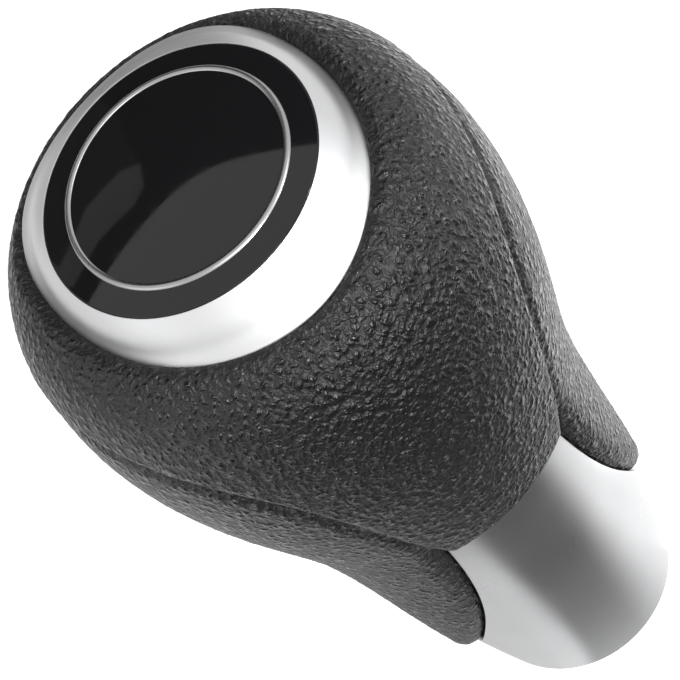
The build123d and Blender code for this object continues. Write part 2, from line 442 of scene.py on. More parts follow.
@dataclass(frozen=True)
class PlasticFinish:
    """Moulded plastic or rubber: one colour, with a noise texture in its gloss and surface."""

    name: str
    colour: Colour
    rough: float
    rough_spread: float
    grains: Noise
    grain_depth: float
    grain_strength: float = 0.4
    gloss: float = 0.5

    def material(self) -> Material:
        """The finish as a material.

        Returns:
            The material.
        """
        material, graph = new_material(self.name)
        grain = graph.noise(graph.object_place(), self.grains)
        graph.surface({
            "Base Color": self.colour,
            "Roughness": graph.about(grain, self.rough, self.rough_spread),
            "Specular IOR Level": self.gloss,
            "Normal": graph.bump(grain, self.grain_depth, self.grain_strength),
        })
        return material


@dataclass(frozen=True)
class StageFinish:
    """Matt stage surface that camera, glossy and transmission rays see brighter by a glow."""

    name: str
    colour: Colour
    glow: float = 0.0

    def material(self) -> Material:
        """The finish as a material."""
        material, graph = new_material(self.name)
        matt_with_glow(graph, self.colour, self.glow)
        return material


@dataclass(frozen=True)
class FanFinish:
    """Matt card round the knob's foot: dark towards the front, and light again towards either side.

    Turns are azimuths in degrees, and reaches are metres from the lever's axis. A light is a grey and
    a glow.
    """

    name: str
    dark: float = 0.14
    foot_lift: float = 0.36
    reach: Span = (0.0122, 0.037)
    fall: float = 3.0
    left_turn: Span = (-27.0, -39.0)
    left_light: Span = (0.75, 0.22)
    right_start: Span = (-4.0, 23.0)
    right_end: Span = (52.0, 50.0)
    right_light: Span = (0.86, 0.68)
    foot_loss: float = 0.4

    def material(self) -> Material:
        """The finish as a material.

        Returns:
            The material.
        """
        material, graph = new_material(self.name)
        spot = graph.add("ShaderNodeSeparateXYZ", {0: graph.object_place()}).outputs
        ahead = graph.math("MULTIPLY", spot["Y"], -1.0)
        turn = graph.math("DEGREES", graph.math("ARCTAN2", spot["X"], ahead))
        across = graph.math("MULTIPLY", spot["X"], spot["X"])
        reach = graph.math("SQRT", graph.math("MULTIPLY_ADD", spot["Y"], spot["Y"], across))
        near = graph.math("POWER", graph.spread(reach, *self.reach, 1.0, 0.0, ramp=Ramp.EVEN), self.fall)
        dark = graph.math("MULTIPLY_ADD", near, self.foot_lift, self.dark)
        start = graph.spread(reach, *self.reach, *self.right_start, ramp=Ramp.EVEN)
        end = graph.spread(reach, *self.reach, *self.right_end, ramp=Ramp.EVEN)
        right = graph.spread(turn, start, end, 0.0, 1.0)
        left = graph.spread(turn, *self.left_turn, 0.0, 1.0)
        grey = graph.blend(left, graph.blend(right, dark, self.right_light[0]), self.left_light[0])
        beside = graph.math("MULTIPLY_ADD", near, -self.foot_loss, self.right_light[1])
        glow = graph.blend(left, graph.math("MULTIPLY", right, beside), self.left_light[1])
        matt_with_glow(graph, grey, glow)
        return material


def matt_with_glow(graph: Graph, colour: object, glow: object) -> None:
    """Ends a stage material: matt, and brighter by a glow for camera, glossy and transmission rays.

    Args:
        graph: Tree of the material.
        colour: Colour of the matt surface, or the socket of its grey.
        glow: Strength of the glow, or its socket.
    """
    matt = graph.add("ShaderNodeBsdfDiffuse", {"Color": colour}).outputs[0]
    light = graph.add("ShaderNodeEmission", {"Strength": glow}).outputs[0]
    both = graph.add("ShaderNodeAddShader", {0: matt, 1: light}).outputs[0]
    surface = graph.add("ShaderNodeMixShader", {0: seen_rays(graph), 1: matt, 2: both}).outputs[0]
    graph.add("ShaderNodeOutputMaterial", {"Surface": surface})


def seen_rays(graph: Graph) -> Socket:
    """1 for camera, glossy and transmission rays, else 0."""
    path = graph.add("ShaderNodeLightPath").outputs
    mirrored = graph.math("MAXIMUM", path["Is Glossy Ray"], path["Is Transmission Ray"])
    return graph.math("MAXIMUM", path["Is Camera Ray"], mirrored)


def dress(piece: Piece, material: Material) -> None:
    """Gives every face of a piece one material."""
    piece.data.materials.clear()
    piece.data.materials.append(material)


def new_node_group(name: str, sizes: tuple[str, ...]) -> tuple[Tree, Graph, dict]:
    """Empty geometry tree with a geometry input and named sizes.

    Args:
        name: Name of the tree.
        sizes: Names of its size inputs, each in metres.

    Returns:
        The tree, the graph that fills it, and the sockets of its inputs by name.
    """
    tree = bpy.data.node_groups.new(name, "GeometryNodeTree")
    tree.interface.new_socket("Geometry", in_out="INPUT", socket_type="NodeSocketGeometry")
    for size in sizes:
        tree.interface.new_socket(size, in_out="INPUT", socket_type="NodeSocketFloat")
    tree.interface.new_socket("Geometry", in_out="OUTPUT", socket_type="NodeSocketGeometry")
    graph = Graph(tree)
    given = graph.add("NodeGroupInput").outputs
    return tree, graph, {socket.name: socket for socket in given}


def close_node_group(graph: Graph, geometry: Socket, material: Material) -> None:
    """Ends a geometry tree in one real mesh with one material.

    Args:
        graph: Tree to end.
        geometry: What the tree has made.
        material: Material of every face.
    """
    whole = graph.add("GeometryNodeRealizeInstances", {0: geometry})
    faced = graph.add("GeometryNodeSetMaterial", {"Geometry": whole.outputs[0], "Material": material})
    graph.add("NodeGroupOutput", {0: faced.outputs[0]})


def run_node_group(piece: Piece, tree: Tree, sizes: dict[str, float]) -> None:
    """Runs a geometry tree on a piece and keeps the result as its plain mesh.

    Args:
        piece: Piece that the tree works on, which loses its modifier again.
        tree: Geometry tree.
        sizes: Values of its named inputs, in millimetres.
    """
    modifier = piece.modifiers.new(tree.name, "NODES")
    modifier.node_group = tree
    for socket in tree.interface.items_tree:
        if socket.in_out == "INPUT" and socket.name in sizes:
            modifier[socket.identifier] = sizes[socket.name] * MM
    depsgraph = bpy.context.evaluated_depsgraph_get()
    mesh = bpy.data.meshes.new_from_object(piece.evaluated_get(depsgraph), depsgraph=depsgraph)
    piece.modifiers.remove(modifier)
    piece.data = mesh
    mesh.shade_smooth()


def along_edge(angle: Array, z: Array, count: int, level_weight: float) -> tuple[Array, Array]:
    """Even steps along an edge of one quarter.

    Args:
        angle: Azimuths of the edge, from 0 to about 90.
        z: Heights of the edge.
        count: Number of steps.
        level_weight: How many millimetres a degree counts for beside a step up or down.

    Returns:
        Azimuths from 0 to 90 degrees and the edge's heights there.
    """
    length = np.concatenate([[0.0], np.cumsum(np.hypot(np.diff(angle) * level_weight, np.diff(z)))])
    where = np.linspace(0, length[-1], count + 1)
    least = np.arange(count + 1) * LEAST_STEP
    quarter = np.maximum.accumulate(np.interp(where, length, angle) - least) + least
    quarter[0], quarter[-1] = 0.0, 90.0
    return quarter, np.interp(where, length, z)


@dataclass
class LobeEdge:
    """Lower edge of the cover in one quarter: along the level hem, then round the lobe to its tip."""

    hem_z: float = 49.7
    hem_angle: float = 31.5
    lobe: Stations = (
        (31.5, 49.7), (33.0, 42.5), (38.7, 32.0), (47.5, 24.6), (59.0, 18.2), (75.0, 11.6), (90.0, 8.7)
    )
    mean_r: float = 16.0
    level_weight: float = 0.84
    dense: int = 400

    def __post_init__(self) -> None:
        """Works out the lobe's edge as a dense curve that is level at the tip."""
        per_degree = math.radians(self.mean_r)
        one_side = [(angle * per_degree, z) for angle, z in self.lobe]
        other_side = [(180 * per_degree - x, z) for x, z in one_side[-2::-1]]
        curve = natural_spline(tuple(one_side + other_side), 2 * self.dense + 1)[: self.dense + 1]
        self.lobe_angle = curve[:, 0] / per_degree
        self.lobe_z = curve[:, 1]
        self.hem_line = np.linspace(0, self.hem_angle, self.dense // 4)

    def columns(self, count: int) -> Array:
        """Azimuths of one quarter in a number of steps, close together where the edge is steep."""
        angle = np.concatenate([self.hem_line, self.lobe_angle[1:]])
        z = np.concatenate([np.full_like(self.hem_line, self.hem_z), self.lobe_z[1:]])
        return along_edge(angle, z, count, self.level_weight)[0]

    def bottom(self, quarter: Array) -> Array:
        """Height of the edge at folded azimuths."""
        on_lobe = np.interp(quarter, self.lobe_angle, self.lobe_z)
        return np.where(quarter < self.hem_angle, self.hem_z, on_lobe)

    def moved_off(self, gap: float) -> tuple[Array, Array]:
        """Line that keeps a gap below and outside the lobe's edge.

        Args:
            gap: Distance from the edge.

        Returns:
            Azimuths and heights of the line.
        """
        per_degree = math.radians(self.mean_r)
        along = np.gradient(np.stack([self.lobe_angle * per_degree, self.lobe_z], axis=1), axis=0)
        along /= np.linalg.norm(along, axis=1)[:, None]
        return self.lobe_angle + gap * along[:, 1] / per_degree, self.lobe_z - gap * along[:, 0]

    def distance(self, quarter: Array, radius: Array, z: Array, line: EdgeLine) -> Array:
        """Distance on the unrolled surface from points to a line of the edge.

        Args:
            quarter: Folded azimuth of each point.
            radius: Radius of each point.
            z: Height of each point.
            line: Line to measure to.

        Returns:
            Each point's distance.
        """
        if line is EdgeLine.LOBE:
            edge_angle, edge_z = self.lobe_angle, self.lobe_z
        else:
            edge_angle, edge_z = self.hem_line, np.full_like(self.hem_line, self.hem_z)
        nearest = np.full(z.shape, np.inf)
        for angle, height in zip(edge_angle, edge_z):
            nearest = np.minimum(nearest, (np.radians(quarter - angle) * radius) ** 2 + (z - height) ** 2)
        return np.sqrt(nearest)


@dataclass
class EggRim:
    """Egg-shaped outline of the bezel's rim, with its broad end at the back."""

    stations: Stations = ((0, 19.3), (42, 18.1), (90, 17.3), (143, 19.75), (180, 19.7))
    dense: int = 720

    def __post_init__(self) -> None:
        """Works out the rim's radius all the way round."""
        half = list(self.stations)
        other = [(360 - angle, radius) for angle, radius in half[-2:0:-1]]
        turn = half + other
        spun = [(angle + 360 * lap, radius) for lap in (-1, 0, 1) for angle, radius in turn]
        points = tuple((r * math.sin(math.radians(a)), -r * math.cos(math.radians(a))) for a, r in spun)
        curve = natural_spline(points, 3 * self.dense)
        angle = np.degrees(np.unwrap(np.arctan2(curve[:, 0], -curve[:, 1])))
        self.angle = angle - 360.0
        self.curve_r = np.hypot(curve[:, 0], curve[:, 1])

    def radius(self, azimuth: Array) -> Array:
        """Rim's radius at azimuths from 0 to 360."""
        return np.interp(azimuth, self.angle, self.curve_r)


@dataclass
class Grip:
    """Soft grained cover: pear-shaped head, two proud panels with creased edges, and two side lobes."""

    finish: LeatherFinish
    edge: LobeEdge
    rim: EggRim
    outline: Stations = (
        (15.0, 8.6), (16.2, 20.0), (18.1, 41.5), (19.3, 49.0), (21.7, 59.0),
        (24.7, 79.0), (23.3, 89.5), (21.6, 93.4), (16.8, 97.0),
    )
    head_z: float = 79.0
    panel_edge: Stations = ((8.8, 49.0), (11.1, 59.0), (13.6, 70.0), (18.1, 80.7), (24.7, 88.0))
    proud: Stations = ((49.7, 0.5), (56.0, 0.85), (89.5, 0.25), (93.4, 0.0))
    panel_roll: float = 1.7
    crease_depth: float = 0.52
    crease_width: float = 0.6
    crease_offset: float = 0.3
    hem_round: float = 1.0
    lobe_round: float = 2.4
    lip_round: float = 1.5
    lip_gap: float = 0.35
    core_wall: Stations = ((19.9, 92.2), (21.6, 79.0), (18.7, 59.0), (14.5, 52.2))
    collar_wall_r: float = 16.2
    tube: Stations = ((10.6, 0.0), (13.3, 20.0), (14.5, 52.0))
    tube_top: float = 52.0
    tube_shares: tuple[float, ...] = (0.05, 0.5, 1.0)
    hem_inset: float = 0.15
    lip_depth: float = 0.4
    deck_gap: float = 0.1
    columns: int = 104
    rows: int = 196
    hem_rows: tuple[float, ...] = (0, 0.04, 0.12, 0.25, 0.42, 0.65, 0.95, 1.3, 1.7, 2.1)
    hem_zone: float = 2.5
    lip_rows: tuple[float, ...] = (1.5, 1.15, 0.85, 0.6, 0.38, 0.2, 0.07, 0)
    lip_zone: float = 1.8
    plain_rows: int = 2
    outline_points: int = 1600
    edge_points: int = 500
    grain_height: float = 0.08

    def surface(self, azimuth: Array) -> tuple[Array, Array]:
        """Outer face of the cover.

        Args:
            azimuth: Azimuth of each column.

        Returns:
            Radius and height of each point, by column and row, from the lower edge up to the lip.
        """
        curve = natural_spline(self.outline, self.outline_points)
        step = np.linalg.norm(np.diff(curve, axis=0), axis=1)
        length = np.concatenate([[0.0], np.cumsum(step)])
        slope = np.gradient(curve, length, axis=0)
        normal = np.stack([slope[:, 1], -slope[:, 0]], axis=1)
        normal /= np.linalg.norm(normal, axis=1)[:, None]
        quarter = fold(azimuth)
        low = np.interp(self.edge.bottom(quarter), curve[:, 1], length)
        upper = curve[:, 1] > self.head_z
        high = np.interp(-(self.rim.radius(azimuth) + self.lip_gap), -curve[upper, 0], length[upper])
        share = np.linspace(0, 1, self.rows - len(self.hem_rows) - len(self.lip_rows) + 2)[1:-1]
        first, last = low + self.hem_zone, high - self.lip_zone
        near_hem = low[:, None] + np.array(self.hem_rows)[None, :]
        between = first[:, None] + (last - first)[:, None] * share[None, :]
        near_lip = high[:, None] - np.array(self.lip_rows)[None, :]
        along = np.concatenate([near_hem, between, near_lip], axis=1)
        base_r = np.interp(along, length, curve[:, 0])
        base_z = np.interp(along, length, curve[:, 1])
        out_r = np.interp(along, length, normal[:, 0])
        out_z = np.interp(along, length, normal[:, 1])
        folded = np.broadcast_to(quarter[:, None], along.shape)
        lift = self.relief(folded, base_r, base_z, curve)
        lift = lift - edge_drop(high[:, None] - along, self.lip_round)
        return base_r + lift * out_r, base_z + lift * out_z

    def relief(self, quarter: Array, radius: Array, z: Array, curve: Array) -> Array:
        """How far the face lies off the plain outline: panels, creases, and rounded hem and lobes.

        Args:
            quarter: Folded azimuth of each point.
            radius: Radius of each point on the plain outline.
            z: Height of each point on the plain outline.
            curve: Plain outline as radius and height.

        Returns:
            Distance along the outline's normal, outwards positive.
        """
        proud_z, proud_lift = np.array(self.proud).T
        lift = np.interp(z, proud_z, proud_lift)
        line = natural_spline(self.panel_edge, self.edge_points)
        line_r = np.interp(line[:, 1], curve[:, 1], curve[:, 0])
        angle = np.arcsin(np.minimum(line[:, 0] / line_r, 1.0))
        reach = int(np.argmax(angle)) + 1
        line, line_r, angle = line[:reach], line_r[:reach], angle[:reach]
        points = np.stack([line_r * np.sin(angle), line_r * np.cos(angle), line[:, 1]], axis=-1)
        turn = np.radians(quarter)
        place = np.stack([radius * np.sin(turn), radius * np.cos(turn), z], axis=-1)
        nearest = np.full(z.shape, np.inf)
        for point in points[::2]:
            nearest = np.minimum(nearest, ((place - point) ** 2).sum(axis=-1))
        nearest = np.sqrt(nearest)
        beyond = (turn > np.interp(z, line[:, 1], angle)) & (z < line[-1, 1])
        signed = np.where(beyond, nearest, -nearest)
        lift = lift * (1 - smooth_step(signed, -self.panel_roll, 0.0))
        off = (signed - self.crease_offset) / self.crease_width
        groove = self.crease_depth * np.exp(-0.5 * off**2)
        lower = z < self.edge.hem_z + 2 * self.lobe_round
        fall = np.zeros(z.shape)
        spot = (quarter[lower], radius[lower], z[lower])
        fall[lower] = np.maximum(
            edge_drop(self.edge.distance(*spot, EdgeLine.HEM), self.hem_round),
            edge_drop(self.edge.distance(*spot, EdgeLine.LOBE), self.lobe_round),
        )
        return lift - groove - fall

    def inner_wall(self, azimuth: Array, top_z: Array) -> tuple[Array, Array]:
        """Hidden side of the cover, from the lip down to the lower edge.

        Args:
            azimuth: Azimuth of each column.
            top_z: Height of the lip in each column.

        Returns:
            Radius and height of each point, by column and row.
        """
        quarter = fold(azimuth)
        bottom = self.edge.bottom(quarter)
        opening = self.rim.radius(azimuth) + self.lip_gap
        radius = [opening, opening]
        height = [top_z - self.lip_depth, np.full_like(opening, self.core_wall[0][1] + self.deck_gap)]
        for wall_r, wall_z in self.core_wall:
            radius.append(np.full_like(opening, wall_r))
            height.append(np.full_like(opening, wall_z))
        on_hem = quarter < self.edge.hem_angle
        for share in self.tube_shares:
            z = self.tube_top + share * (bottom + self.hem_inset - self.tube_top)
            radius.append(np.where(on_hem, self.collar_wall_r, arc_radius(self.tube, z)))
            height.append(z)
        return np.stack(radius, axis=1), np.stack(height, axis=1)

    def grain_tree(self, material: Material) -> Tree:
        """Geometry nodes that raise the pebble grain on the cover's outer face.

        Args:
            material: Material of the cover.

        Returns:
            The tree, with the grain's height as its input.
        """
        tree, graph, given = new_node_group("leather_grain", ("Height",))
        pebble = self.finish.pattern.height(graph, graph.add("GeometryNodeInputPosition").outputs[0])
        shown = graph.add("GeometryNodeInputNamedAttribute", {"Name": "grain"}, data_type="FLOAT")
        raised = graph.math("MULTIPLY", pebble, shown.outputs[0])
        amount = graph.math("MULTIPLY", raised, given["Height"])
        normal = graph.add("GeometryNodeInputNormal").outputs[0]
        offset = graph.vector("SCALE", {0: normal, "Scale": amount})
        moved = graph.add("GeometryNodeSetPosition", {"Geometry": given["Geometry"], "Offset": offset})
        close_node_group(graph, moved.outputs[0], material)
        return tree

    def build(self) -> Piece:
        """The cover with its grain.

        Returns:
            The piece.
        """
        azimuth = unfold(self.edge.columns(self.columns))
        outer_r, outer_z = self.surface(azimuth)
        inner_r, inner_z = self.inner_wall(azimuth, outer_z[:, -1])
        piece = MeshMaker.closed_ring("grip_cover", [outer_r, inner_r], [outer_z, inner_z], azimuth)
        grain = np.zeros((len(azimuth), outer_r.shape[1] + inner_r.shape[1]))
        grain[:, self.plain_rows : outer_r.shape[1] - self.plain_rows] = 1.0
        piece.data.attributes.new("grain", "FLOAT", "POINT").data.foreach_set("value", grain.ravel())
        material = self.finish.material()
        dress(piece, material)
        run_node_group(piece, self.grain_tree(material), {"Height": self.grain_height})
        return piece


@dataclass
class Collar:
    """Tapered satin sleeve with two notches that follow the lobes, and a flange inside its foot."""

    finish: MetalFinish
    edge: LobeEdge
    arc: Stations = ((12.1, 0.0), (14.8, 20.0), (16.0, 52.0))
    wall: float = 1.6
    notch_gap: float = 0.22
    top_z: float = 52.0
    rim_round: float = 0.4
    edge_round: float = 0.25
    flange: Stations = ((8.2, 2.5), (8.2, 1.0))
    columns: int = 90
    rows: int = 44
    inner_rows: int = 8
    level_points: int = 40
    bend_points: int = 6

    def build(self) -> Piece:
        """The sleeve.

        Returns:
            The piece.
        """
        notch_angle, notch_z = self.edge.moved_off(self.notch_gap)
        level = np.linspace(0, notch_angle[0], self.level_points)
        angle = np.concatenate([level, notch_angle])
        top = np.concatenate([np.full_like(level, self.top_z), notch_z])
        quarter, top_at = along_edge(angle, top, self.columns, self.edge.level_weight)
        azimuth = unfold(quarter)
        half_top = np.concatenate([top_at[:-1], top_at[::-1][:-1]])
        height = np.concatenate([half_top, half_top])[:, None]
        bend = np.radians(np.linspace(0, 90, self.bend_points))[None, :]
        share = np.linspace(0, 1, self.rows)[None, 1:-1]
        foot_z = self.rim_round * (1 - np.sin(bend)) + 0 * height
        body_z = self.rim_round + (height - self.rim_round - self.edge_round) * share
        lip_z = height - self.edge_round * (1 - np.sin(bend))
        outer_z = np.concatenate([foot_z[:, ::-1], body_z, lip_z], axis=1)
        outer_r = arc_radius(self.arc, np.clip(outer_z, 0, None))
        outer_r[:, : bend.size] -= self.rim_round * (1 - np.sin(bend))
        outer_r[:, -bend.size :] -= self.edge_round * (1 - np.cos(bend))
        (flange_top_r, flange_top_z), (flange_low_r, flange_low_z) = self.flange
        inner_share = np.linspace(0, 1, self.inner_rows)[None, :]
        inner_z = height + (flange_top_z - height) * inner_share
        inner_r = arc_radius(self.arc, inner_z) - self.wall
        flange_r = np.array([flange_top_r, flange_low_r])[None, :] + 0 * height
        flange_z = np.array([flange_top_z, flange_low_z])[None, :] + 0 * height
        foot_wall_z = np.array([flange_low_z, 0.0])[None, :] + 0 * height
        foot_wall_r = arc_radius(self.arc, foot_wall_z) - self.wall
        radii = [outer_r, inner_r, flange_r, foot_wall_r]
        heights = [outer_z, inner_z, flange_z, foot_wall_z]
        piece = MeshMaker.closed_ring("collar_sleeve_satin", radii, heights, azimuth)
        dress(piece, self.finish.material())
        return piece


@dataclass
class Bezel:
    """Satin trim between the lens and the cover: a circle at the lens, egg-shaped at its thin rim."""

    finish: MetalFinish
    rim: EggRim
    top_r: float = 14.56
    bore_r: float = 14.5
    top_z: float = 99.0
    top_round: float = 0.03
    rim_z: float = 95.1
    rim_step: float = 0.35
    rim_height: float = 0.5
    lip_round: float = 0.42
    lip_tilt: float = 34.0
    slope: Stations = (
        (0, 0), (0.24, 0.188), (0.467, 0.41), (0.59, 0.569), (0.71, 0.735), (0.857, 0.885), (1, 1)
    )
    seat: Stations = ((14.5, 97.1), (12.7, 97.1), (12.7, 96.3), (11.0, 96.3), (11.0, 94.9))
    foot_z: float = 92.05
    wall: float = 1.4
    segments: int = 288
    slope_rows: int = 56
    lip_points: int = 6
    crown_points: int = 5

    def build(self) -> Piece:
        """The ring.

        Returns:
            The piece.
        """
        azimuth = np.arange(self.segments) * 360.0 / self.segments
        section = np.stack([self.section(float(radius)) for radius in self.rim.radius(azimuth)])
        piece = MeshMaker.closed_ring("bezel_ring_satin", [section[:, :, 0]], [section[:, :, 1]], azimuth)
        dress(piece, self.finish.material())
        return piece

    def section(self, rim_r: float) -> Array:
        """Closed section through the ring.

        Args:
            rim_r: Radius of the rim there.

        Returns:
            Radius and height of each point, from the crown out over the lip and back through the bore.
        """
        bend = np.radians(np.linspace(self.lip_tilt, 90, self.lip_points))
        lip_r = rim_r - self.lip_round * (1 - np.sin(bend))
        lip = np.stack([lip_r, self.rim_z - self.lip_round * (1 - np.cos(bend))], axis=1)
        start = np.array([self.top_r, self.top_z - self.top_round])
        stations = tuple(start + np.array(share) * (lip[0] - start) for share in self.slope)
        slope = natural_spline(stations, self.slope_rows)
        turn = np.radians(np.linspace(0, 90, self.crown_points))[:-1]
        crown_r = self.top_r - self.top_round * (1 - np.sin(turn))
        crown = np.stack([crown_r, self.top_z - self.top_round * (1 - np.cos(turn))], axis=1)
        skirt_r = rim_r - self.rim_step
        wall_r, rim_low = skirt_r - self.wall, self.rim_z - self.rim_height
        under = [(rim_r, rim_low), (skirt_r, rim_low), (skirt_r, self.foot_z)]
        under += [(wall_r, self.foot_z), (wall_r, self.seat[-1][1])]
        bore = [*reversed(self.seat), (self.bore_r, self.top_z - self.top_round)]
        return np.concatenate([crown, slope, lip[1:], np.array(under), np.array(bore)])


@dataclass
class Lens:
    """Domed gloss disc with a fine raised silver ring let into it."""

    finish: PlasticFinish
    ring_finish: MetalFinish
    radius: float = 14.44
    edge_z: float = 99.0
    seat_z: float = 97.1
    dome: float = 1.4
    edge_round: float = 0.1
    ring_r: float = 11.5
    ring_bead: float = 0.4
    ring_sunk: float = 0.2
    segments: int = 192
    dome_rows: int = 40
    edge_points: int = 7
    bead_points: int = 32

    def dome_z(self, radius: Array) -> Array:
        """Height of the dome at a radius."""
        sphere = (self.radius**2 + self.dome**2) / (2 * self.dome)
        return self.edge_z + self.dome - sphere + np.sqrt(sphere**2 - radius**2)

    def build(self) -> list[Piece]:
        """The disc and its ring.

        Returns:
            Both pieces.
        """
        flat = self.radius - self.edge_round
        r = np.linspace(0, flat, self.dome_rows)
        dome = np.stack([r, self.dome_z(r)], axis=1)
        turn = np.radians(np.linspace(0, 90, self.edge_points))[1:]
        rim_z = float(self.dome_z(np.array([flat]))[0]) - self.edge_round
        rim_r = flat + self.edge_round * np.sin(turn)
        rim = np.stack([rim_r, rim_z + self.edge_round * np.cos(turn)], axis=1)
        section = np.concatenate([dome, rim, [(self.radius, self.seat_z), (0.0, self.seat_z)]])
        disc = MeshMaker.turned("cap_lens_gloss", section, self.segments)
        dress(disc, self.finish.material())
        ring = MeshMaker.from_faces("lens_ring", np.zeros((1, 3)), [])
        ring_z = float(self.dome_z(np.array([self.ring_r]))[0]) - self.ring_sunk
        sizes = {"Radius": self.ring_r, "Bead": self.ring_bead, "Height": ring_z}
        run_node_group(ring, self.ring_tree(self.ring_finish.material()), sizes)
        return [disc, ring]

    def ring_tree(self, material: Material) -> Tree:
        """Geometry nodes that sweep a round bead along the ring's circle on the dome.

        Args:
            material: Material of the ring.

        Returns:
            The tree, with the ring's radius, bead and height as its inputs.
        """
        tree, graph, given = new_node_group("silver_ring", ("Radius", "Bead", "Height"))
        circle = "GeometryNodeCurvePrimitiveCircle"
        path = graph.add(circle, {"Resolution": self.segments, "Radius": given["Radius"]}).outputs[0]
        bead = graph.add(circle, {"Resolution": self.bead_points, "Radius": given["Bead"]}).outputs[0]
        swept = graph.add("GeometryNodeCurveToMesh", {"Curve": path, "Profile Curve": bead}).outputs[0]
        place = graph.add("ShaderNodeCombineXYZ", {"Z": given["Height"]}).outputs[0]
        raised = graph.add("GeometryNodeTransform", {"Geometry": swept, "Translation": place})
        close_node_group(graph, raised.outputs[0], material)
        return tree


@dataclass
class ThreadedInsert:
    """Hexagonal bush in the core with its internal thread cut."""

    finish: MetalFinish
    sides: int = 6
    corner_r: float = 7.6
    corner_turn: float = 90.0
    low_z: float = 34.0
    high_z: float = 56.0
    core_r: float = 4.35
    pitch: float = 1.25
    depth: float = 0.65
    lead_in: float = 0.8
    segments: int = 96
    steps_per_turn: int = 8

    def build(self) -> Piece:
        """The bush.

        Returns:
            The piece.
        """
        azimuth = np.arange(self.segments) * 360.0 / self.segments
        half_side = 180.0 / self.sides
        flat = self.corner_r * math.cos(math.radians(half_side))
        off_flat = np.mod(azimuth - self.corner_turn, 2 * half_side) - half_side
        hexagon = flat / np.cos(np.radians(off_flat))
        count = int((self.high_z - self.low_z) / self.pitch * self.steps_per_turn)
        z = np.linspace(self.high_z, self.low_z, count)
        phase = np.mod(z[None, :] / self.pitch - azimuth[:, None] / 360.0, 1.0)
        groove = self.depth * (1 - np.abs(2 * phase - 1))
        mouth = np.clip(self.lead_in - (z - self.low_z), 0, None)[None, :]
        bore = self.core_r + np.maximum(groove, mouth)
        radii = [hexagon[:, None], hexagon[:, None], bore]
        heights = [np.concatenate([[self.low_z, self.high_z], z])[None, :]]
        piece = MeshMaker.closed_ring("lever_insert_threaded", radii, heights, azimuth)
        dress(piece, self.finish.material())
        return piece


@dataclass(frozen=True)
class Lamp:
    """Square softbox at a place, in metres, turned towards a height on the lever's axis."""

    name: str
    place: Place
    aim_z: float
    size: float
    power: float

    def build(self) -> None:
        """Hangs the lamp up."""
        data = bpy.data.lights.new(self.name, "AREA")
        data.shape = "SQUARE"
        data.size = self.size
        data.energy = self.power
        lamp = bpy.data.objects.new(self.name, data)
        away = Vector(self.place) - Vector((0, 0, self.aim_z))
        turn = away.to_track_quat("Z", "Y").to_matrix().to_4x4()
        lamp.matrix_world = Matrix.Translation(Vector(self.place)) @ turn
        bpy.context.scene.collection.objects.link(lamp)


@dataclass(frozen=True)
class PhotoCamera:
    """Camera of the photograph, with its place in millimetres and its angles in degrees."""

    place: Place = (0.0, -186.75, 306.51)
    tilt: float = 52.373
    turn: float = -3.5
    roll: float = 45.0
    focal_pixels: float = 3000.0
    image_pixels: float = 680.0
    sensor: float = 36.0
    nearest: float = 0.01

    def heading(self) -> Matrix:
        """Turn of the camera about the lever's axis."""
        return Matrix.Rotation(math.radians(self.turn), 3, "Z")

    def build(self) -> None:
        """Sets the camera up, with its roll."""
        tilt, roll = math.radians(self.tilt), math.radians(self.roll)
        forward = Vector((0, math.cos(tilt), -math.sin(tilt)))
        down = Vector((0, -math.sin(tilt), -math.cos(tilt)))
        right = Vector((1, 0, 0))
        image_right = right * math.cos(roll) + down * math.sin(roll)
        image_up = right * math.sin(roll) - down * math.cos(roll)
        axes = Matrix((image_right, image_up, -forward)).transposed()
        turn = self.heading()
        data = bpy.data.cameras.new("camera")
        data.sensor_width = self.sensor
        data.lens = self.sensor * self.focal_pixels / self.image_pixels
        data.clip_start = self.nearest
        camera = bpy.data.objects.new("camera", data)
        place = Matrix.Translation(turn @ Vector(self.place) * MM)
        camera.matrix_world = place @ (turn @ axes).to_4x4()
        bpy.context.scene.collection.objects.link(camera)
        bpy.context.scene.camera = camera


